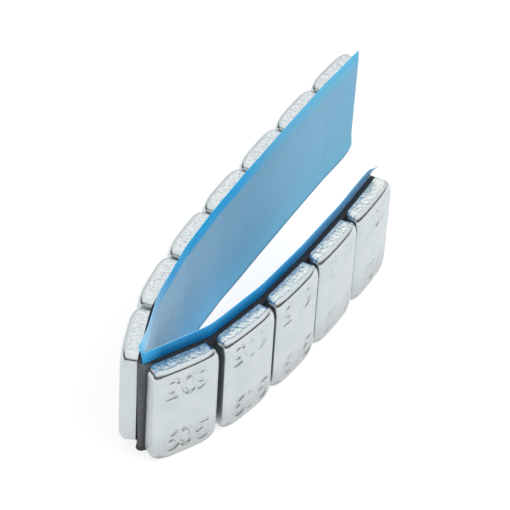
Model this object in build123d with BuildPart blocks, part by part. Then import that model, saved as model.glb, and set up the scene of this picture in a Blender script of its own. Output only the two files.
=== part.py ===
from build123d import *
from math import radians
import os

# Strip of stick-on wheel balance weights, bent double and standing on its long edge.
# Twelve blanked steel plates sit on one foam tape, and a film liner covers the tape's adhesive.
# Millimetres, +Z up, +X from the fold towards the open ends, origin at the middle of the base.

# Steel plates
weight_width = 11.5  # along the strip
weight_height = 19.0
weight_thickness = 2.85  # at the ends
front_crown = 0.25  # bow of the front face between the ends
corner_radius = 1.3
roll_width = 1.1  # edge that blanking rolls over, on the front face
roll_depth = 0.5  # and on the sides
shear_depth = 0.95  # smooth band of the edge, next to the front face
fracture_angle = 4.0  # slope of the torn band behind it, in degrees

# Foam tape and film liner
weight_gap = 0.35  # between neighbouring plates, measured along the adhesive face
tape_thickness = 0.8
tape_setback = 0.1  # from the plates' upper and lower edges
film_thickness = 0.1
liner_lip = 2.3  # height of the liner's peeling lip above the plates
rear_setback = 1.6  # of the tape's and liner's ends from the rear end plate's edge
front_setback = 1.0  # and from the front one's

# Bends in degrees, from the rear arm's open end round to the front arm's
rear_bend_angles = (2.6, 0.4, 0.5, 3.1, 5.5, 11.8)
fold_bend_angle = 131.6
front_bend_angles = (16.7, 6.3, 3.0, 2.1)
fold_inside_radius = 0.15  # of the adhesive face at the fold
fold_lead = 0.75  # bare tape between the last rear plate and the fold
front_heading_angle = -26.3  # of the first plate after the fold, from +X

fracture_depth = weight_thickness - shear_depth
crown_radius = (weight_width**2 / 4 + front_crown**2) / (2 * front_crown)
first_heading = front_heading_angle - fold_bend_angle - sum(rear_bend_angles)
film_depth = tape_thickness + film_thickness


def bend_list():
    """Each bend's angle, the adhesive face's radius there and the bare tape before it."""
    for bend in rear_bend_angles:
        yield bend, weight_gap / radians(bend), 0
    yield fold_bend_angle, fold_inside_radius, fold_lead
    for bend in front_bend_angles:
        yield bend, weight_gap / radians(bend), 0


def along(heading):
    """Unit vector along the strip."""
    return Vector(1, 0, 0).rotate(Axis.Z, heading)


def inward(heading):
    """Unit vector from the plates towards the liner."""
    return Vector(0, 1, 0).rotate(Axis.Z, heading)


def straight_runs(depth):
    """Start, length and heading of the run behind each plate, this deep behind the plates' backs."""
    heading = first_heading
    start = inward(heading) * depth
    for bend, inside_radius, bare_tape in bend_list():
        length = weight_width + bare_tape
        yield start, length, heading
        radius = inside_radius + tape_thickness - depth
        centre = start + along(heading) * length + inward(heading) * radius
        heading += bend
        start = centre - inward(heading) * radius
    yield start, weight_width, heading


def strip_line(depth):
    """Draw the strip's line at this depth, runs joined by tangent arcs, and return its two ends."""
    runs = list(straight_runs(depth))
    first, _, first_way = runs[0]
    at = first + along(first_way) * rear_setback
    ends = [at]
    for (start, length, heading), (following, _, _) in zip(runs, runs[1:]):
        run_end = start + along(heading) * length
        Line(at, run_end)
        TangentArc(run_end, following, tangent=along(heading))
        at = following
    last, length, last_way = runs[-1]
    ends.append(last + along(last_way) * (length - front_setback))
    Line(at, ends[1])
    return ends


def strip_outline(outer_depth, inner_depth):
    """Closed outline between two such lines."""
    with BuildLine() as outline:
        outer_ends = strip_line(outer_depth)
        inner_ends = strip_line(inner_depth)
        for outer_end, inner_end in zip(outer_ends, inner_ends):
            Line(outer_end, inner_end)
    return outline.edges()


def plate_plane(start, heading):
    """Plane on a plate's back face, centred, looking out of the front."""
    middle = start + along(heading) * (weight_width / 2) + Vector(0, 0, weight_height / 2)
    return Plane(origin=middle, x_dir=along(heading), z_dir=-inward(heading))


pieces = []

# Steel plates: a crowned face, a smooth sheared band with a rolled front edge, and a torn band that slopes in
for number, (start, _, heading) in enumerate(straight_runs(0), 1):
    back = plate_plane(start, heading)
    with BuildPart() as weight:
        with BuildSketch(back.offset(fracture_depth)) as outline:
            RectangleRounded(weight_width, weight_height, corner_radius)
        extrude(outline.sketch, amount=shear_depth + front_crown)
        with Locations(back.offset(weight_thickness + front_crown - crown_radius)):
            Cylinder(crown_radius, 2 * weight_height, rotation=(90, 0, 0), mode=Mode.INTERSECT)
        front = weight.faces().filter_by(GeomType.CYLINDER).sort_by(SortBy.AREA)[-1]
        chamfer(front.edges(), length=roll_width, length2=roll_depth, reference=front)
        extrude(outline.sketch, amount=-fracture_depth, taper=fracture_angle)
    weight.part.label = f"weight_{number:02d}"
    pieces.append(weight.part)

# Foam tape, bonded to the plates' backs
with BuildPart() as foam_tape:
    with BuildSketch(Plane.XY.offset(tape_setback)):
        make_face(strip_outline(0, tape_thickness))
    extrude(amount=weight_height - 2 * tape_setback)
foam_tape.part.label = "foam_tape"
pieces.append(foam_tape.part)

# Film liner on the adhesive face, with its lip above the plates
with BuildPart() as release_liner:
    with BuildSketch():
        make_face(strip_outline(tape_thickness, film_depth))
    extrude(amount=weight_height + liner_lip)
release_liner.part.label = "release_liner"
pieces.append(release_liner.part)

# The origin goes to the middle of the base
box = Compound(pieces).bounding_box()
to_base = Location((-box.center().X, -box.center().Y, -box.min.Z))

os.makedirs("parts", exist_ok=True)
for piece in pieces:
    export_step(piece.moved(to_base), f"parts/{piece.label}.step")
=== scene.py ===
import math

import bpy
import numpy as np
from mathutils import Matrix, Vector, noise


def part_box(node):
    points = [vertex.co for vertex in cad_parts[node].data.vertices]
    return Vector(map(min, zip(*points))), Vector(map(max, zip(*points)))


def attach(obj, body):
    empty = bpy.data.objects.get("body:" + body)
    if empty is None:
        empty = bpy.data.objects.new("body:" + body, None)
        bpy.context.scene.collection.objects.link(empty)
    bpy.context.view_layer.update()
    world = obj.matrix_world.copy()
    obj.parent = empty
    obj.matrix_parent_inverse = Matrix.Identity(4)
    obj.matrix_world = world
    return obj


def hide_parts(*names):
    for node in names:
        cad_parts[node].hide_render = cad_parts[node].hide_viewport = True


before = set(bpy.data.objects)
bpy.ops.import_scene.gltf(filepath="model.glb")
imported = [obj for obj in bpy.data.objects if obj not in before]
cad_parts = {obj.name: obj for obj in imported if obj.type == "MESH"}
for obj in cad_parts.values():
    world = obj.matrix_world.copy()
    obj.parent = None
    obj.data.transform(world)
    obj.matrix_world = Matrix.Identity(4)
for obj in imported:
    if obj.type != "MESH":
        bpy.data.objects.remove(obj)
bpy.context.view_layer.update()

# A folded strip of stick-on wheel balance weights: steel plates, foam tape and a film liner.
# Sizes and places are in millimetres, and MM turns them into metres.
MM = 0.001

# Steel plates
PLATE_COUNT = 12
PLATE_WIDTH = 11.5  # along the strip
PLATE_HEIGHT = 19.0
PLATE_THICKNESS = 2.85  # at the ends
FRONT_CROWN = 0.25  # bow of the front face between the ends
CORNER_RADIUS = 1.45  # of the cut edge
FLAT_RADIUS = 2.0  # of the front face inside its rolled edge
ROLL_WIDTH = 1.05  # of the rolled edge, on the face
ROLL_DEPTH = 0.6  # and down the sides
CORNER_ROLL_DEPTH = 1.15  # and down the corners
SHEAR_DEPTH = 0.75  # from the face to the end of the smooth band
LEAST_SHEAR = 0.1  # of that band below the rolled edge
FRACTURE_ANGLE = 2.5  # slope of the torn band behind it, in degrees
FRACTURE_SLOPE = math.tan(math.radians(FRACTURE_ANGLE))

# Torn band's grain, with noise pitches in features per millimetre
TORN_RELIEF = 0.048
TORN_COARSE = (2.3, 2.3, 0.7)  # along, up and through the plate
TORN_COARSE_SHARE = 0.8
TORN_FINE = (5.2, 5.2, 1.9)
TORN_FINE_SHARE = 0.9
TORN_SINK = 0.9  # how far the grain's middle lies inside the edge, in reliefs
TORN_SLANT = 0.4  # share of the grain that also runs through the plate
TORN_LINE_WANDER = 0.15  # of the line between the smooth band and the torn one
TORN_LINE_PITCH = 0.7
TORN_START = 0.2  # depth over which the grain sets in
TORN_END = 0.12  # and over which it fades at the back
TORN_END_SHARE = 0.25  # what is left of it there
BACK_MARGIN = 0.01  # rings this close to the back stay level
TORN_FACING = 0.85  # squared upward part of the normal from which a side shows its torn band
SIDE_FACING = 0.05  # and up to which it is finished like the face
NOISE_REACH = 40.0  # most that a plate's place in the noise lies from the origin

# Stamped numerals
DIGIT_HEIGHT = 3.5
STROKE_HALF = 0.50  # half a stroke's width at the face
STROKE_WALL = 0.30  # width of its sloping sides
STAMPS = (("5", 1.9, -7.75), ("6", -3.6, -7.6), ("0", -1.2, -7.6))  # with their lower left corners
STAMP_SHIFT = 0.25  # most that a plate's numerals are off their place
STAMP_DEPTH = 0.15
OTHER_STAMP_DEPTHS = {8: 0.26, 9: 0.20, 10: 0.17, 11: 0.12}  # by plate number
STAMP_WEAR = 0.25  # share of the depth that comes and goes across a plate
WEAR_PITCH = 0.9  # in radians per millimetre
WEAR_PHASE = 6.0  # most that the wear is shifted, in radians
STAMP_SHOWS = 0.02  # depth of two opposite corners together, from which a face counts as stamped

# Foam tape
PLATE_GAP = 0.35  # between neighbouring plates, along the adhesive face
TAPE_THICKNESS = 0.8
TAPE_SETBACK = 0.1  # from the plates' upper and lower edges
REAR_SETBACK = 1.6  # of the strip's ends from the end plates' edges
FRONT_SETBACK = 1.0
TAPE_PITCH = 1.9  # of the noise along its faces
TAPE_EDGE_PITCH = 2.0  # and through its thickness
TAPE_RAGGED = 0.08  # wander of the cut edges
TAPE_SHRINK = 0.03  # how far they lie inside their line
TAPE_DENT = 0.035  # of the outer face
FOLD_TUCK = 0.4  # how far the tape's foot pulls in at the fold
FOLD_SHORT = 0.35  # and up

# Film liner
FILM_THICKNESS = 0.1
LINER_LIP = 2.3
LINER_WIDTH = PLATE_HEIGHT + LINER_LIP  # cut size of the flat film
LIP_CURL = 1.4  # power of the height by which the lip leans out
LIP_SMOOTH_REACH = 10  # samples over which its bends are spread
WAVE_DEPTH = 0.08  # of the lip's edge
WAVE_PITCH = 0.11  # in noise features per millimetre
WAVE_LEVEL = 3.0  # height in the noise at which the wave is read
FLARE_HEIGHT = 4.0  # of the foot that stands off the tape
END_SKEW = -0.12  # the film's rear end is cut a little out of square
END_ROUND = 1.3  # and its lower corner is rounded
END_REACH = 3.0  # how far along the film the samples follow that cut

# Values along the strip, by plate number: 7.5 is the middle of plate 7, and 8.0 is the fold.
# The tape's share of its tuck, the lip's lean outwards, the foot's distance from the tape,
# and the share in which the lip's bends are spread.
TAPE_FOLD = ((7.9, 0.0), (7.97, 1.0), (8.02, 1.0), (8.06, 0.0))
LIP_LEAN = ((1.0, 0.1), (6.8, 0.05), (7.2, 0.05), (7.6, 0.25), (7.93, 0.85), (8.0, 0.3), (8.05, 0.1),
            (9.0, 0.05), (12.6, 0.2), (12.78, 0.3), (12.92, 1.2))
FOOT_FLARE = ((1.1, 0.38), (1.6, 0.70), (4.5, 0.95), (6.5, 0.7), (7.5, 0.3), (7.9, 0.0), (13.0, 0.0))
LIP_SMOOTHING = ((1.0, 1.0), (7.1, 1.0), (7.5, 0.0), (8.5, 0.0), (8.9, 1.0), (13.0, 1.0))

# Bends in degrees, from the rear arm's open end round to the front arm's
REAR_BENDS = (2.6, 0.4, 0.5, 3.1, 5.5, 11.8)
FOLD_BEND = 131.6
FRONT_BENDS = (16.7, 6.3, 3.0, 2.1)
FOLD_INSIDE_RADIUS = 0.15  # of the adhesive face at the fold
FOLD_LEAD = 0.75  # bare tape between the last rear plate and the fold
FRONT_HEADING = -26.3  # of the first plate after the fold, from +X

# Mesh detail
STRIP_STEP = 0.5  # between samples along the strip
ARC_STEP = 6.0  # between samples round a bend, in degrees
LEAST_ARC_STEPS = 3
CORNER_ROWS = 24
STRAIGHT_ROWS = 124
FACE_COLUMNS = 92
ROLL_RINGS = 12
SATIN_RINGS = 2  # of the rolled edge, finished like the face
SHEAR_RINGS = 4
TORN_RINGS = 14
ROLL_SEARCH = 3.0  # widest roll that is looked for, in roll widths
ROLL_HALVINGS = 40
STROKE_ARC_POINTS = 40
STROKE_LINE_POINTS = 16
STROKE_CHUNKS = 12  # parts in which the numerals are measured, to save memory
TAPE_ROWS = 41
TAPE_BACK_STEP = 8  # rows of the outer face to one of the adhesive face
TAPE_EDGE_ROWS = 5
BACKED_ROWS = 36
LIP_ROWS = 13

# Material slots of a plate and of the film
FACE, SHEAR, TORN, STAMP = 0, 1, 2, 3
INNER, OUTER = 0, 1

# Looks. A ramp has places and colours, a noise has features per metre, detail and roughness,
# a finish has its lowest and highest roughness, and a bump has its strength and depth.
NOISE_LOW, NOISE_HIGH = 0.3, 0.7  # range that most of a noise lies in

# Zinc plating
PLATING_TINTS = ((0.3, (0.56, 0.62, 0.65)), (0.55, (0.61, 0.66, 0.68)), (0.75, (0.65, 0.68, 0.69)))
MOTTLE = (260.0, 4.0, 0.6)
FACE_GRAIN = (1900.0, 3.0, 0.6)
FACE_FINISH = (0.30, 0.44)
STAMP_FINISH = (0.28, 0.38)
FACE_BUMP = (0.12, 0.04)
SHEAR_STREAKS = (700.0, 3.0, 0.6)
SHEAR_FINISH = (0.12, 0.22)
SHEAR_GRAIN = (1500.0, 2.0, 0.5)
SHEAR_BUMP = (0.10, 0.04)
TORN_TINTS = ((0.3, (0.46, 0.52, 0.55)), (0.5, (0.70, 0.75, 0.77)), (0.7, (0.86, 0.89, 0.90)))
# On the front arm the torn band is painted brighter, and its dark grain holds a painted cyan reflection of
# the blue film
TORN_FRONT_LIT_TINTS = ((0.34, (0.54, 0.68, 0.64)), (0.5, (0.90, 0.92, 0.87)), (0.66, (0.94, 0.94, 0.91)))
TORN_GRAIN = (2600.0, 3.0, 0.5)
TORN_FINISH = (0.26, 0.40)
TORN_PITS = (3000.0, 2.0, 0.5)
TORN_BUMP = (0.36, 0.10)

# The front arm's plates get painted shade towards the floor, and strong painted shade low down in the gaps
# between them
FRONT_ARM = (0.0, -4.0)  # along Y, from where it starts to where it is full
FOOT_SHADE_HEIGHTS = (6.0, 1.5)  # the same down Z
FACE_FOOT_SHADE = (0.86, 0.835, 0.82)
SHEAR_FOOT_SHADE = (0.55, 0.53, 0.52)
TORN_GAP_SHADE = (0.05, 0.06, 0.07)

# Foam, greyer at the fold: a painted highlight where the turned foam faces the light
FOAM_TINTS = ((0.3, (0.011, 0.014, 0.018)), (0.55, (0.020, 0.024, 0.030)), (0.8, (0.034, 0.039, 0.046)))
FOLD_LIT_TINTS = ((0.3, (0.068, 0.073, 0.078)), (0.55, (0.108, 0.115, 0.122)),
                   (0.8, (0.150, 0.158, 0.168)))
FOLD_LIT_REACH = (-39.4, -41.0)  # along X, from where it starts to where it is full
FOAM_CELLS = (3200.0, 3.0, 0.6)
FOAM_FINISH = (0.62, 0.85)
FOAM_BUMP = (0.5, 0.12)
FOAM_GLOSS = 0.3

# Film: hazy where the tape backs it, clear blue on the lip, with painted light that makes the hazy part
# brighter near the fold, most of all low down, and painted shade that makes it a little darker low down
# far from the fold
LIT_HAZY_AT_FOLD = (0.275, 0.440, 0.570)
HAZY = (0.148, 0.338, 0.480)
LIT_LOW_AT_FOLD = (0.228, 0.560, 0.810)
SHADED_LOW = (0.127, 0.328, 0.468)
# The lip is paler near the fold
PALE_NEAR_FOLD = (0.300, 0.550, 0.700)
CLEAR = (0.004, 0.335, 0.660)
CLEAR_AT_END = (0.080, 0.375, 0.585)
FILM_HAZE = (90.0, 3.0, 0.55)
FILM_FINISH = (0.22, 0.34)
INNER_GLOSS = 0.03
# Where one of these gives way to the next, along X
HAZY_REACH = (-36.0, 6.0)
LOW_REACH = (-10.0, 17.0)
PALE_START = (-41.0, -38.0)
PALE_END = (-36.0, -23.0)
CLEAR_END = (0.0, 12.0)
BORDER_SOFTENS = (2.0, 14.0)
# and up Z
LOW_BORDER = (0.6 * PLATE_HEIGHT, 0.0)
SHARP_BORDER = (PLATE_HEIGHT - 0.4, PLATE_HEIGHT + 0.2)
SOFT_BORDER = (PLATE_HEIGHT - 1.4, PLATE_HEIGHT + 1.8)

# Film on the plates' side: deep blue, paler along the lip's edge and at the front end, and paler at the
# fold, where a painted highlight shows the fold tip facing the light
LIP_FOOT = (0.006, 0.14, 0.36)
LIP_EDGE = (0.014, 0.25, 0.54)
LIP_LIT_AT_FOLD = (0.048, 0.38, 0.74)
# The front arm's lip turns greyer towards its front end
LIP_GREYED = (0.24, 0.34, 0.43)
LIP_END = (0.45, 0.58, 0.66)
OUTER_GLOSS = 0.12
EDGE_BORDER = (LINER_WIDTH - 1.6, LINER_WIDTH - 0.2)  # up Z
FOLD_BORDER = (-37.6, -40.4)  # along X
GREYING_FROM = -12.0
GREYING_SHARE = 0.5  # reached at the front end
END_BORDER = (-1.2, -0.3)  # along X, from the front end

# Floor: its own glow, then the share that takes light and shadow, by the kind of ray
FLOOR_SEEN = (0.80, 0.22)
FLOOR_TO_OTHERS = (0.0, 0.88)
FLOOR_RADIUS = 4000.0
FLOOR_SIDES = 96

# Studio surround: levels of light, and the heights at which they are reached, on a sphere of radius 1
HORIZON = 0.80
BACK_WALL = 0.88
CEILING = 1.14
WALL_TOP = 0.46
CEILING_FROM = 0.80
ROOM_DARK = (0.12, 0.11, 0.10)  # low down on the viewer's side
DARK_HEIGHTS = (0.30, 0.56)  # over which it fades upwards
DARK_SIDES = (-0.62, -0.25)  # cosines of the angle from the viewer, over which it sets in

# Key lamp
KEY_PLACE = (300.0, -800.0, 1000.0)
KEY_AIM = (0.0, 0.0, 10.0)
KEY_SIZE = 900.0
KEY_POWER = 12.8  # in watts

# Camera, found from the photograph's perspective
CAMERA_PLACE = (-294.140, -156.100, 321.014)
CAMERA_AIM = (-1.794, 2.725, 9.5)
CAMERA_ROLL = 3.598  # in degrees
CAMERA_LENS = 198.923
SENSOR_WIDTH = 36.0


# The strip's plan
def along(heading):
    """Unit vector along the strip, in plan."""
    angle = math.radians(heading)
    return np.array([math.cos(angle), math.sin(angle)])


def inward(heading):
    """Unit vector from the plates towards the liner, in plan."""
    angle = math.radians(heading)
    return np.array([-math.sin(angle), math.cos(angle)])


def bend_list():
    """Each bend's angle, the adhesive face's radius there and the bare tape before it."""
    for bend in REAR_BENDS:
        yield bend, PLATE_GAP / math.radians(bend), 0.0
    yield FOLD_BEND, FOLD_INSIDE_RADIUS, FOLD_LEAD
    for bend in FRONT_BENDS:
        yield bend, PLATE_GAP / math.radians(bend), 0.0


def strip_samples():
    """Points on the plates' back line, with the heading and the plate number that each has reached.

    Each plate's start and heading come last.
    """
    heading = FRONT_HEADING - FOLD_BEND - sum(REAR_BENDS)
    at = np.zeros(2)
    samples, plates = [], []
    for number, (bend, inside_radius, bare_tape) in enumerate(bend_list(), 1):
        plates.append((at, heading))
        begin = REAR_SETBACK if number == 1 else 0.0
        length = PLATE_WIDTH + bare_tape
        for run in np.linspace(begin, length, int((length - begin) / STRIP_STEP) + 1):
            samples.append((at + along(heading) * run, heading, number + run / length))
        radius = inside_radius + TAPE_THICKNESS
        centre = at + along(heading) * length + inward(heading) * radius
        turns = max(LEAST_ARC_STEPS, int(bend / ARC_STEP))
        for k in range(1, turns):
            way = heading + bend * k / turns
            samples.append((centre - inward(way) * radius, way, number + 1.0))
        heading += bend
        at = centre - inward(heading) * radius
    plates.append((at, heading))
    end = PLATE_WIDTH - FRONT_SETBACK
    for run in np.linspace(0.0, end, int(end / STRIP_STEP) + 1):
        samples.append((at + along(heading) * run, heading, PLATE_COUNT + run / PLATE_WIDTH))
    points, headings, numbers = (np.array(column) for column in zip(*samples))
    return points, headings, numbers, plates


def plan_shift(points, headings):
    """Shift that takes the strip's plan to where the frame has the tape."""
    normals = np.array([inward(h) for h in headings])
    outline = np.vstack([points, points + normals * TAPE_THICKNESS])
    low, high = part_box("foam_tape")
    middle = np.array([low[0] + high[0], low[1] + high[1]]) / 2 / MM
    return middle - (outline.min(0) + outline.max(0)) / 2


def along_strip(numbers, keys):
    """Values at each sample from a list of plate numbers and values."""
    places, values = zip(*keys)
    return np.interp(numbers, places, values)


# Meshes
def quads(*corners):
    """Four-cornered faces from four equal arrays of vertex numbers."""
    return np.stack(corners, axis=-1).reshape(-1, 4).tolist()


def new_mesh(name, vertices, faces, materials, face_slots):
    """Smooth mesh object from vertices in millimetres."""
    mesh = bpy.data.meshes.new(name)
    mesh.from_pydata((np.asarray(vertices) * MM).tolist(), [], faces)
    for material in materials:
        mesh.materials.append(material)
    mesh.polygons.foreach_set("material_index", face_slots)
    mesh.polygons.foreach_set("use_smooth", [True] * len(faces))
    mesh.update()
    piece = bpy.data.objects.new(name, mesh)
    bpy.context.scene.collection.objects.link(piece)
    return piece


# Material nodes
MIX_COLOUR_A, MIX_COLOUR_B, MIX_COLOUR_RESULT = 6, 7, 2  # sockets of a Mix node set to colours


def cleared(owner):
    """A new material or world with its node tree emptied."""
    owner.use_nodes = True
    owner.node_tree.nodes.clear()
    return owner


def node(material, kind, **values):
    """New node with its settings and socket values."""
    made = material.node_tree.nodes.new(kind)
    for key, value in values.items():
        if key in made.inputs:
            made.inputs[key].default_value = value
        else:
            setattr(made, key, value)
    return made


def link(material, source, target):
    """Wire from one socket to another."""
    material.node_tree.links.new(source, target)


def new_material(name, metallic=0.0, gloss=0.5):
    """Node material with a Principled shader."""
    material = cleared(bpy.data.materials.new(name))
    shader = node(material, "ShaderNodeBsdfPrincipled", Metallic=metallic)
    shader.inputs["Specular IOR Level"].default_value = gloss
    output = node(material, "ShaderNodeOutputMaterial")
    link(material, shader.outputs["BSDF"], output.inputs["Surface"])
    return material, shader


def noise_texture(material, scale, detail, roughness):
    """Noise in object space, its scale in features per metre."""
    coordinates = node(material, "ShaderNodeTexCoord")
    texture = node(material, "ShaderNodeTexNoise", Scale=scale, Detail=detail, Roughness=roughness)
    link(material, coordinates.outputs["Object"], texture.inputs["Vector"])
    return texture.outputs["Fac"]


def place_axes(material):
    """Object-space position, axis by axis."""
    coordinates = node(material, "ShaderNodeTexCoord")
    split = node(material, "ShaderNodeSeparateXYZ")
    link(material, coordinates.outputs["Object"], split.inputs["Vector"])
    return split.outputs


def ramp(material, source, stops):
    """Colour ramp over a 0 to 1 value."""
    made = node(material, "ShaderNodeValToRGB")
    elements = made.color_ramp.elements
    while len(elements) < len(stops):
        elements.new(0.5)
    for element, (place, colour) in zip(elements, stops):
        element.position = place
        element.color = (*colour, 1.0)
    link(material, source, made.inputs["Fac"])
    return made.outputs["Color"]


def spread(material, source, low, high, low_to, high_to):
    """Maps one range of a value onto another."""
    made = node(material, "ShaderNodeMapRange")
    made.inputs["From Min"].default_value = low
    made.inputs["From Max"].default_value = high
    made.inputs["To Min"].default_value = low_to
    made.inputs["To Max"].default_value = high_to
    link(material, source, made.inputs["Value"])
    return made.outputs["Result"]


def ease(material, axis, start, end):
    """Nought at one place and one at the other, both in millimetres, with an even rise between them."""
    return spread(material, axis, start * MM, end * MM, 0.0, 1.0)


def combined(material, operation, first, second):
    """Two values joined by a Math node's operation."""
    made = node(material, "ShaderNodeMath", operation=operation)
    link(material, first, made.inputs[0])
    link(material, second, made.inputs[1])
    return made.outputs["Value"]


def blend_values(material, share, first, second):
    """Mix of two values, each a number or a socket."""
    made = node(material, "ShaderNodeMix", data_type="FLOAT")
    link(material, share, made.inputs["Factor"])
    for name, value in (("A", first), ("B", second)):
        if isinstance(value, float):
            made.inputs[name].default_value = value
        else:
            link(material, value, made.inputs[name])
    return made.outputs["Result"]


def blend_colours(material, share, first, second, blend_type="MIX"):
    """Mix of two colours, each a tuple or a socket."""
    made = node(material, "ShaderNodeMix", data_type="RGBA", blend_type=blend_type)
    link(material, share, made.inputs["Factor"])
    for place, colour in ((MIX_COLOUR_A, first), (MIX_COLOUR_B, second)):
        if isinstance(colour, tuple):
            made.inputs[place].default_value = (*colour, 1.0)
        else:
            link(material, colour, made.inputs[place])
    return made.outputs[MIX_COLOUR_RESULT]


def vary_roughness(material, shader, source, finish):
    """Roughness that follows a noise between a finish's two limits."""
    varied = spread(material, source, NOISE_LOW, NOISE_HIGH, *finish)
    link(material, varied, shader.inputs["Roughness"])


def bump(material, shader, source, strength, depth):
    """Fine relief from a noise."""
    made = node(material, "ShaderNodeBump", Strength=strength, Distance=depth * MM)
    link(material, source, made.inputs["Height"])
    link(material, made.outputs["Normal"], shader.inputs["Normal"])


# Materials
def on_front_arm(material, place):
    """One on the front arm and nought on the rear one."""
    return ease(material, place["Y"], *FRONT_ARM)


def paint_foot_shade(material, colour, tint):
    """Plating colour darkened near the floor by a tint on the front arm: painted shade."""
    place = place_axes(material)
    low = ease(material, place["Z"], *FOOT_SHADE_HEIGHTS)
    share = combined(material, "MULTIPLY", on_front_arm(material, place), low)
    return blend_colours(material, share, colour, tint, "MULTIPLY")


def face_steel(name, finish):
    """Zinc plating: pale satin grey with soft mottling, and painted shade near the floor on the front arm.
    """
    material, shader = new_material(name, metallic=1.0)
    tint = ramp(material, noise_texture(material, *MOTTLE), PLATING_TINTS)
    link(material, paint_foot_shade(material, tint, FACE_FOOT_SHADE), shader.inputs["Base Color"])
    grain = noise_texture(material, *FACE_GRAIN)
    vary_roughness(material, shader, grain, finish)
    bump(material, shader, grain, *FACE_BUMP)
    return material


def shear_steel():
    """Burnished band and rolled edge: the same plating, smoother, with painted shade near the floor on the
    front arm.
    """
    material, shader = new_material("plated_shear", metallic=1.0)
    tint = ramp(material, noise_texture(material, *MOTTLE), PLATING_TINTS)
    link(material, paint_foot_shade(material, tint, SHEAR_FOOT_SHADE), shader.inputs["Base Color"])
    vary_roughness(material, shader, noise_texture(material, *SHEAR_STREAKS), SHEAR_FINISH)
    bump(material, shader, noise_texture(material, *SHEAR_GRAIN), *SHEAR_BUMP)
    return material


def torn_steel():
    """Torn band: plated over and grainy, with painted light and a painted reflection of the blue film on
    the front arm, and painted shade low down in the gaps there.
    """
    material, shader = new_material("plated_torn", metallic=1.0)
    grain = noise_texture(material, *TORN_GRAIN)
    to_front = on_front_arm(material, place_axes(material))
    rear, front_lit = (ramp(material, grain, tints) for tints in (TORN_TINTS, TORN_FRONT_LIT_TINTS))
    tint = blend_colours(material, to_front, rear, front_lit)
    link(material, paint_foot_shade(material, tint, TORN_GAP_SHADE), shader.inputs["Base Color"])
    vary_roughness(material, shader, grain, TORN_FINISH)
    bump(material, shader, noise_texture(material, *TORN_PITS), *TORN_BUMP)
    return material


def foam():
    """Charcoal closed-cell foam, greyer at the fold, where a painted highlight shows the turned foam
    facing the light.
    """
    material, shader = new_material("black_foam", gloss=FOAM_GLOSS)
    cells = noise_texture(material, *FOAM_CELLS)
    at_fold = ease(material, place_axes(material)["X"], *FOLD_LIT_REACH)
    plain, fold_lit = (ramp(material, cells, tints) for tints in (FOAM_TINTS, FOLD_LIT_TINTS))
    link(material, blend_colours(material, at_fold, plain, fold_lit), shader.inputs["Base Color"])
    vary_roughness(material, shader, cells, FOAM_FINISH)
    bump(material, shader, cells, *FOAM_BUMP)
    return material


def inner_film():
    """Blue film seen from inside the fold: greyer where the tape backs it, clearer on the free lip, with
    painted light near the fold and painted shade low down far from it.
    """
    material, shader = new_material("film_inner", gloss=INNER_GLOSS)
    place = place_axes(material)

    def along_arm(reach, first, second):
        return blend_colours(material, ease(material, place["X"], *reach), first, second)

    # Painted light brightens the backed film near the fold, and painted shade darkens it low down far from
    # the fold
    hazy_and_lit = along_arm(HAZY_REACH, LIT_HAZY_AT_FOLD, HAZY)
    low = along_arm(LOW_REACH, LIT_LOW_AT_FOLD, SHADED_LOW)
    backed = blend_colours(material, ease(material, place["Z"], *LOW_BORDER), hazy_and_lit, low)
    lip = along_arm(PALE_START, CLEAR, PALE_NEAR_FOLD)
    lip = along_arm(PALE_END, lip, CLEAR)
    lip = along_arm(CLEAR_END, lip, CLEAR_AT_END)
    sharp, soft = (ease(material, place["Z"], *border) for border in (SHARP_BORDER, SOFT_BORDER))
    on_lip = blend_values(material, ease(material, place["X"], *BORDER_SOFTENS), sharp, soft)
    link(material, blend_colours(material, on_lip, backed, lip), shader.inputs["Base Color"])
    vary_roughness(material, shader, noise_texture(material, *FILM_HAZE), FILM_FINISH)
    return material


def outer_film(end):
    """Blue film seen from the plates' side, with its front end at the given X, and a painted highlight at
    the fold.
    """
    material, shader = new_material("film_outer", gloss=OUTER_GLOSS)
    place = place_axes(material)
    on_front = on_front_arm(material, place)
    lip = blend_colours(material, ease(material, place["Z"], *EDGE_BORDER), LIP_FOOT, LIP_EDGE)
    lip = blend_colours(material, ease(material, place["X"], *FOLD_BORDER), lip, LIP_LIT_AT_FOLD)
    greying = spread(material, place["X"], GREYING_FROM * MM, end * MM, 0.0, GREYING_SHARE)
    lip = blend_colours(material, combined(material, "MULTIPLY", greying, on_front), lip, LIP_GREYED)
    at_end = ease(material, place["X"], end + END_BORDER[0], end + END_BORDER[1])
    lip = blend_colours(material, combined(material, "MULTIPLY", at_end, on_front), lip, LIP_END)
    link(material, lip, shader.inputs["Base Color"])
    vary_roughness(material, shader, noise_texture(material, *FILM_HAZE), FILM_FINISH)
    return material


# Stamped numerals
def stroke_arc(centre, radii, angles):
    """Points on an arc, its angles in degrees."""
    turn = np.radians(np.linspace(*angles, STROKE_ARC_POINTS))
    return np.array(centre) + np.array(radii) * np.c_[np.cos(turn), np.sin(turn)]


def stroke_line(*corners):
    """Points on straight runs from corner to corner."""
    return np.vstack([np.linspace(a, b, STROKE_LINE_POINTS) for a, b in zip(corners, corners[1:])])


# Centre lines of plain numerals, each in a box 0.6 wide and 1 high
DIGIT_STROKES = {
    "0": [stroke_arc((0.3, 0.5), (0.3, 0.5), (0, 360))],
    "5": [stroke_line((0.56, 1.0), (0.1, 1.0), (0.06, 0.56)),
          stroke_arc((0.28, 0.31), (0.31, 0.31), (138, -150))],
    "6": [stroke_arc((0.3, 0.3), (0.3, 0.3), (0, 360)),
          stroke_arc((0.62, 0.32), (0.62, 0.68), (178, 100))],
}


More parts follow.
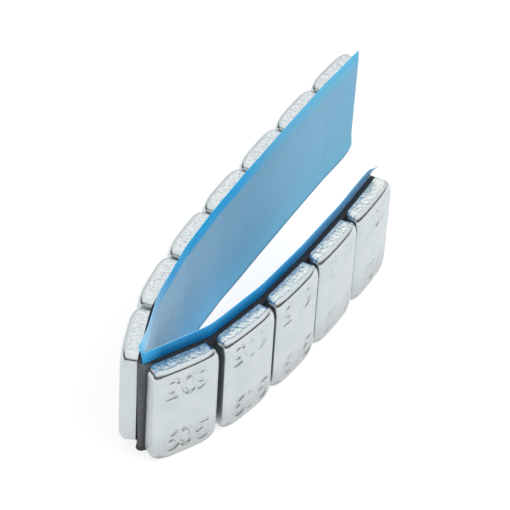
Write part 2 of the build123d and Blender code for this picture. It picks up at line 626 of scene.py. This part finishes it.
def stamp_points(random):
    """Centre lines of one plate's numerals: a group at the foot, and the same turned round at the head."""
    shift = random.uniform(-STAMP_SHIFT, STAMP_SHIFT, 2)
    groups = []
    for digit, x, y in STAMPS:
        for stroke in DIGIT_STROKES[digit]:
            groups.append(stroke * DIGIT_HEIGHT + (x + shift[0], y + abs(shift[1])))
    foot = np.vstack(groups)
    return np.vstack([foot, -foot])


def stamp_relief(x, y, deepest, random):
    """Depth of the stamped numerals on the front face."""
    centres = stamp_points(random)
    flat = np.c_[x.ravel(), y.ravel()]
    nearest = np.full(len(flat), np.inf)
    for chunk in np.array_split(centres, STROKE_CHUNKS):
        gap = np.linalg.norm(flat[:, None, :] - chunk[None, :, :], axis=2).min(1)
        nearest = np.minimum(nearest, gap)
    depth = np.clip((STROKE_HALF - nearest) / STROKE_WALL, 0.0, 1.0)
    depth = depth * depth * (3.0 - 2.0 * depth)
    wear = np.sin(flat[:, 0] * WEAR_PITCH + random.uniform(0.0, WEAR_PHASE))
    kept = (1.0 - STAMP_WEAR) + STAMP_WEAR * wear
    return (deepest * depth * kept).reshape(x.shape)


# Steel plates
def rounded_rows(width, height, radius):
    """Heights of the rows across a rounded rectangle, and its half width at each."""
    rows = []
    for k in range(CORNER_ROWS + 1):
        angle = math.pi / 2 * (1 - k / CORNER_ROWS)
        up = -height / 2 + radius * (1 - math.sin(angle))
        rows.append((up, width / 2 - radius * (1 - math.cos(angle))))
    corners = [(-y, half) for y, half in reversed(rows)]
    for k in range(1, STRAIGHT_ROWS):
        rows.append((-height / 2 + radius + (height - 2 * radius) * k / STRAIGHT_ROWS, width / 2))
    return np.array(rows + corners)


def row_grid(rows):
    """Points of a grid whose border is the rounded rectangle of these rows."""
    x = rows[:, 1:] * np.linspace(-1.0, 1.0, FACE_COLUMNS + 1)
    y = np.repeat(rows[:, :1], FACE_COLUMNS + 1, axis=1)
    return x, y


def outward_normals(loop):
    """Unit normals of a closed loop that runs anticlockwise."""
    ahead = np.roll(loop, -1, axis=0) - np.roll(loop, 1, axis=0)
    outward = np.c_[ahead[:, 1], -ahead[:, 0]]
    return outward / np.linalg.norm(outward, axis=1)[:, None]


def roll_widths(rim, fan):
    """Distance from the face's flat straight out to the plate's cut edge, found by halving."""
    half = np.array([PLATE_WIDTH, PLATE_HEIGHT]) / 2 - CORNER_RADIUS
    low, high = np.zeros(len(rim)), np.full(len(rim), ROLL_SEARCH * ROLL_WIDTH)
    for _ in range(ROLL_HALVINGS):
        middle = (low + high) / 2
        beyond = np.abs(rim + fan * middle[:, None]) - half
        gap = np.linalg.norm(np.maximum(beyond, 0.0), axis=1) + np.minimum(beyond.max(1), 0.0)
        outside = gap > CORNER_RADIUS
        low, high = np.where(outside, low, middle), np.where(outside, middle, high)
    return low


def edge_rings(corner):
    """Share of the way out to the cut edge, depth and band, ring by ring down the side."""
    deep = ROLL_DEPTH + (CORNER_ROLL_DEPTH - ROLL_DEPTH) * corner
    shear_end = np.maximum(SHEAR_DEPTH, deep + LEAST_SHEAR)
    for k in range(1, ROLL_RINGS + 1):
        angle = math.pi / 2 * k / ROLL_RINGS
        band = FACE if k <= SATIN_RINGS else SHEAR
        yield math.sin(angle), deep * (1 - math.cos(angle)), band
    for k in range(1, SHEAR_RINGS + 1):
        yield 1.0, deep + (shear_end - deep) * k / SHEAR_RINGS, SHEAR
    for k in range(1, TORN_RINGS + 1):
        yield 1.0, shear_end + (PLATE_THICKNESS - shear_end) * k / TORN_RINGS, TORN


def plate_face(stamp_depth, random):
    """Front face inside its rolled edge: points, faces, their slots, and the border's vertex numbers."""
    rows = rounded_rows(PLATE_WIDTH - 2 * ROLL_WIDTH, PLATE_HEIGHT - 2 * ROLL_WIDTH, FLAT_RADIUS)
    x, y = row_grid(rows)
    dip = stamp_relief(x, y, stamp_depth, random)
    dip[[0, -1]] = 0.0
    dip[:, [0, -1]] = 0.0
    index = np.arange(x.size).reshape(x.shape)
    faces = quads(index[:-1, :-1], index[:-1, 1:], index[1:, 1:], index[1:, :-1])
    pressed = (dip[:-1, :-1] + dip[1:, 1:]).ravel() > STAMP_SHOWS
    slots = np.where(pressed, STAMP, FACE).tolist()
    loop = np.concatenate([index[0, :-1], index[:-1, -1], index[-1, :0:-1], index[:0:-1, 0]])
    return np.c_[x.ravel(), y.ravel(), -dip.ravel()], faces, slots, loop


def torn_noise(ring, offset):
    """Grain of the torn band at each point of a ring, drawn out through the plate's thickness."""
    coarse = [noise.noise(Vector(p * TORN_COARSE + offset)) for p in ring]
    fine = [noise.noise(Vector(p * TORN_FINE + offset)) for p in ring]
    return TORN_COARSE_SHARE * np.array(coarse) + TORN_FINE_SHARE * np.array(fine)


def torn_line(edge, offset):
    """Depth at which each point of the cut edge starts to be torn."""
    wander = [noise.noise(Vector((*(p * TORN_LINE_PITCH), 0.0)) + Vector(offset)) for p in edge]
    return SHEAR_DEPTH + TORN_LINE_WANDER * np.array(wander)


def tear(ring, depth, outward, line, offset):
    """Slopes one ring of the torn band in and roughens it along the strip's edges."""
    ring[:, :2] -= outward * (FRACTURE_SLOPE * (depth - SHEAR_DEPTH))[:, None]
    grain = torn_noise(ring, offset)
    begun = np.clip((depth - line) / TORN_START, 0.0, 1.0)
    lasting = np.clip((PLATE_THICKNESS - depth) / TORN_END, TORN_END_SHARE, 1.0)
    relief = TORN_RELIEF * (begun * lasting) * outward[:, 1] ** 4
    ring[:, :2] -= outward * (relief * np.maximum(TORN_SINK + grain, 0.0))[:, None]
    ring[:, 2] += TORN_SLANT * relief * grain * (depth < PLATE_THICKNESS - BACK_MARGIN)


def crowned(points):
    """Points measured from the back, with the front face's bow."""
    bow = FRONT_CROWN * (1.0 - (2.0 * points[:, 0] / PLATE_WIDTH) ** 2)
    near_front = np.clip(1.0 + points[:, 2] / SHEAR_DEPTH, 0.0, 1.0)
    height = np.maximum(PLATE_THICKNESS + points[:, 2] + bow * near_front, 0.0)
    return np.c_[points[:, :2], height]


def plate_mesh(name, place, heading, seed, stamp_depth, materials):
    """One blanked plate in its place: stamped face, rolled edge, burnished band and torn band."""
    random = np.random.default_rng(seed)
    face, faces, slots, loop = plate_face(stamp_depth, random)
    rim = face[loop, :2]
    fan = outward_normals(rim)
    width = roll_widths(rim, fan)
    corner = (width - width.min()) / np.ptp(width)
    edge = rim + fan * width[:, None]
    outward = outward_normals(edge)
    facing = outward[:, 1] ** 2
    offset = random.uniform(-NOISE_REACH, NOISE_REACH, 3)
    line = torn_line(edge, offset)
    local, previous, total = [face], loop, len(face)
    for reach, depth, band in edge_rings(corner):
        ring = np.c_[rim + (edge - rim) * reach, -depth]
        if band == TORN:
            tear(ring, depth, outward, line, offset)
        local.append(ring)
        current = np.arange(total, total + len(loop))
        total += len(loop)
        faces += quads(previous, current, np.roll(current, -1), np.roll(previous, -1))
        side_band = np.where(facing > TORN_FACING, band, min(band, SHEAR))
        slots += np.where(facing < SIDE_FACING, FACE, side_band).tolist()
        previous = current
    faces.append(previous[::-1].tolist())
    slots.append(FACE)
    points = crowned(np.vstack(local))
    way, out = along(heading), -inward(heading)
    world = np.empty_like(points)
    world[:, :2] = place + way * PLATE_WIDTH / 2 + points[:, :1] * way + points[:, 2:] * out
    world[:, 2] = points[:, 1] + PLATE_HEIGHT / 2
    return new_mesh(name, world, faces, materials, slots)


# Foam tape and film liner
def strip_tube(name, points, headings, section, materials, slots):
    """Closed strip: rings of (depth, height, run along the strip) points carried along the plan line."""
    count, size = section.shape[:2]
    ways = np.array([along(h) for h in headings])[:, None]
    normals = np.array([inward(h) for h in headings])[:, None]
    world = np.empty((count, size, 3))
    world[..., :2] = points[:, None] + normals * section[..., :1] + ways * section[..., 2:]
    world[..., 2] = section[..., 1]
    index = np.arange(count * size).reshape(count, size)
    after = np.roll(index, -1, axis=1)
    faces = quads(index[:-1], index[1:], after[1:], after[:-1])
    faces += [index[0].tolist(), index[-1, ::-1].tolist()]
    face_slots = list(slots) * (count - 1) + [slots[0], slots[0]]
    return new_mesh(name, world.reshape(-1, 3), faces, materials, face_slots)


def tape_mesh(points, headings, numbers, material):
    """Foam tape with slightly ragged cut edges, tucked in at the fold."""
    low, high = TAPE_SETBACK, PLATE_HEIGHT - TAPE_SETBACK
    up = np.linspace(low, high, TAPE_ROWS)
    through = np.linspace(0.0, TAPE_THICKNESS, TAPE_EDGE_ROWS + 2)[1:-1]
    ring = [(0.0, z, 0.0) for z in up]
    ring += [(d, high, 0.0) for d in through]
    ring += [(TAPE_THICKNESS, z, 0.0) for z in up[::-TAPE_BACK_STEP]]
    ring += [(d, low, 0.0) for d in through[::-1]]
    ring = np.array(ring)
    section = np.repeat(ring[None], len(points), axis=0)
    for i, (x, y) in enumerate(points):
        for k, (d, z, _) in enumerate(ring):
            at = Vector((x * TAPE_PITCH, y * TAPE_PITCH + d * TAPE_EDGE_PITCH, z * TAPE_PITCH))
            value = noise.noise(at)
            if z == high:
                section[i, k, 1] += TAPE_RAGGED * value - TAPE_SHRINK
            elif z == low:
                section[i, k, 1] -= TAPE_RAGGED * value - TAPE_SHRINK
            elif d == 0.0:
                section[i, k, 0] += TAPE_DENT * abs(value)
    at_fold = along_strip(numbers, TAPE_FOLD)[:, None]
    section[..., 0] += FOLD_TUCK * at_fold * (1.0 - ring[:, 1] / PLATE_HEIGHT) * (ring[:, 0] == 0.0)
    section[..., 1] += FOLD_SHORT * at_fold * (ring[:, 1] == low)
    return strip_tube("foam_strip", points, headings, section, [material], [0] * len(ring))


def smoothed(points, reach):
    """The plan line with its bends spread over neighbouring samples."""
    padded = np.pad(points, ((reach, reach), (0, 0)), mode="reflect", reflect_type="odd")
    window = np.hanning(2 * reach + 3)[1:-1]
    window /= window.sum()
    return np.stack([np.convolve(padded[:, c], window, mode="valid") for c in range(2)], axis=1)


def end_shape(heights, gone):
    """How far the film's rear end is cut back at each height, spread over the samples next to it."""
    skew = END_SKEW * (2.0 * heights / LINER_WIDTH - 1.0)
    below = np.clip(1.0 - heights / END_ROUND, 0.0, 1.0)
    rounding = END_ROUND * (1.0 - np.sqrt(1.0 - below ** 2))
    return np.clip(1.0 - gone / END_REACH, 0.0, 1.0)[:, None] * (skew + rounding)


def liner_mesh(points, headings, numbers, materials):
    """Film liner: flat on the tape, with a springy lip above it and a foot that stands off."""
    backed = np.linspace(0.0, PLATE_HEIGHT, BACKED_ROWS)
    up = np.concatenate([backed, np.linspace(PLATE_HEIGHT, LINER_WIDTH, LIP_ROWS)[1:]])
    outer = [(TAPE_THICKNESS, z, 0.0) for z in up]
    inner = [(TAPE_THICKNESS + FILM_THICKNESS, z, 0.0) for z in up[::-1]]
    ring = np.array(outer + inner)
    slots = [OUTER] * (len(up) - 1) + [INNER] * (len(up) + 1)
    free = np.clip((ring[:, 1] - PLATE_HEIGHT) / LINER_LIP, 0.0, 1.0)
    foot = np.clip(1.0 - ring[:, 1] / FLARE_HEIGHT, 0.0, 1.0) ** 2
    wave = np.array([noise.noise(Vector((*(point * WAVE_PITCH), WAVE_LEVEL))) for point in points])
    normals = np.array([inward(h) for h in headings])
    eased = ((smoothed(points, LIP_SMOOTH_REACH) - points) * normals).sum(1)
    eased = eased * along_strip(numbers, LIP_SMOOTHING)
    lean = along_strip(numbers, LIP_LEAN) + WAVE_DEPTH * wave
    flare = along_strip(numbers, FOOT_FLARE)
    gone = np.linalg.norm(points - points[0], axis=1)
    section = np.repeat(ring[None], len(points), axis=0)
    section[..., 0] -= lean[:, None] * free ** LIP_CURL
    section[..., 0] += flare[:, None] * foot + eased[:, None] * free
    section[..., 1] -= WAVE_DEPTH * np.abs(wave)[:, None] * free
    section[..., 2] += end_shape(ring[:, 1], gone)
    return strip_tube("film_strip", points, headings, section, materials, slots)


# Stage
def seen_directly(material):
    """One for camera, mirror and see-through rays, and nought for the others."""
    path = node(material, "ShaderNodeLightPath")
    either = path.outputs["Is Camera Ray"]
    for ray in ("Is Glossy Ray", "Is Transmission Ray"):
        either = combined(material, "MAXIMUM", either, path.outputs[ray])
    return either


def add_floor():
    """Wide pale floor that shows white and keeps the soft shadow."""
    bpy.ops.mesh.primitive_circle_add(vertices=FLOOR_SIDES, radius=FLOOR_RADIUS * MM, fill_type="NGON",
                                      location=(0.0, 0.0, 0.0))
    floor = bpy.context.object
    floor.name = "floor"
    material = cleared(bpy.data.materials.new("floor"))
    seen = seen_directly(material)
    own_glow, share = (blend_values(material, seen, *pair) for pair in zip(FLOOR_TO_OTHERS, FLOOR_SEEN))
    glow = node(material, "ShaderNodeEmission")
    link(material, own_glow, glow.inputs["Strength"])
    matte = node(material, "ShaderNodeBsdfDiffuse")
    link(material, share, matte.inputs["Color"])
    both = node(material, "ShaderNodeAddShader")
    link(material, matte.outputs["BSDF"], both.inputs[0])
    link(material, glow.outputs["Emission"], both.inputs[1])
    output = node(material, "ShaderNodeOutputMaterial")
    link(material, both.outputs["Shader"], output.inputs["Surface"])
    floor.data.materials.append(material)


def add_world():
    """Studio surround: bright above and behind, dim low down on the viewer's side."""
    world = cleared(bpy.data.worlds.new("studio"))
    coordinates = node(world, "ShaderNodeTexCoord")
    split = node(world, "ShaderNodeSeparateXYZ")
    link(world, coordinates.outputs["Generated"], split.inputs["Vector"])
    height = split.outputs["Z"]
    to_viewer = Vector(CAMERA_PLACE) - Vector(CAMERA_AIM)
    to_viewer.z = 0.0
    facing = node(world, "ShaderNodeVectorMath", operation="DOT_PRODUCT")
    facing.inputs[1].default_value = to_viewer.normalized()
    link(world, coordinates.outputs["Generated"], facing.inputs[0])
    wall = spread(world, height, 0.0, WALL_TOP, HORIZON, BACK_WALL)
    ceiling = spread(world, height, WALL_TOP, CEILING_FROM, 0.0, CEILING - BACK_WALL)
    level = combined(world, "ADD", wall, ceiling)
    low = spread(world, height, *DARK_HEIGHTS, 1.0, 0.0)
    near = spread(world, facing.outputs["Value"], *DARK_SIDES, 0.0, 1.0)
    room = blend_colours(world, combined(world, "MULTIPLY", low, near), level, ROOM_DARK)
    background = node(world, "ShaderNodeBackground")
    link(world, room, background.inputs["Color"])
    output = node(world, "ShaderNodeOutputWorld")
    link(world, background.outputs["Background"], output.inputs["Surface"])
    bpy.context.scene.world = world


def add_key_lamp():
    """Square soft box that lights the object but isn't mirrored in it."""
    lamp = bpy.data.lights.new("key", "AREA")
    lamp.shape = "SQUARE"
    lamp.size = KEY_SIZE * MM
    lamp.energy = KEY_POWER
    rig = bpy.data.objects.new("key", lamp)
    rig.location = Vector(KEY_PLACE) * MM
    rig.rotation_euler = (Vector(KEY_AIM) - Vector(KEY_PLACE)).to_track_quat("-Z", "Y").to_euler()
    rig.visible_glossy = False
    bpy.context.scene.collection.objects.link(rig)


def add_camera():
    """Camera at the photograph's place, with its slight roll."""
    camera = bpy.data.cameras.new("camera")
    camera.lens = CAMERA_LENS
    camera.sensor_width = SENSOR_WIDTH
    place = Vector(CAMERA_PLACE) * MM
    forward = (Vector(CAMERA_AIM) * MM - place).normalized()
    right = forward.cross(Vector((0.0, 0.0, 1.0))).normalized()
    up = right.cross(forward)
    roll = math.radians(CAMERA_ROLL)
    level, lift = math.cos(roll), math.sin(roll)
    x_axis = right * level + up * lift
    y_axis = up * level - right * lift
    rig = bpy.data.objects.new("camera", camera)
    rig.matrix_world = Matrix((
        (x_axis.x, y_axis.x, -forward.x, place.x),
        (x_axis.y, y_axis.y, -forward.y, place.y),
        (x_axis.z, y_axis.z, -forward.z, place.z),
        (0.0, 0.0, 0.0, 1.0),
    ))
    bpy.context.scene.collection.objects.link(rig)
    bpy.context.scene.camera = rig


# The pieces in their places
points, headings, numbers, plates = strip_samples()
shift = plan_shift(points, headings)
points = points + shift

steel = [
    face_steel("plated_face", FACE_FINISH),
    shear_steel(),
    torn_steel(),
    face_steel("plated_stamp", STAMP_FINISH),
]
for number, (start, heading) in enumerate(plates, 1):
    stamp_depth = OTHER_STAMP_DEPTHS.get(number, STAMP_DEPTH)
    plate = plate_mesh(f"plate_{number:02d}", start + shift, heading, number, stamp_depth, steel)
    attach(plate, "root")
    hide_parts(f"weight_{number:02d}")

tape = tape_mesh(points, headings, numbers, foam())
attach(tape, "root")
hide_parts("foam_tape")

liner = liner_mesh(points, headings, numbers, [inner_film(), outer_film(points[-1][0])])
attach(liner, "root")
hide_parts("release_liner")

# Floor, light and camera
add_floor()
add_world()
add_key_lamp()
add_camera()
bpy.context.scene.view_settings.view_transform = "Standard"
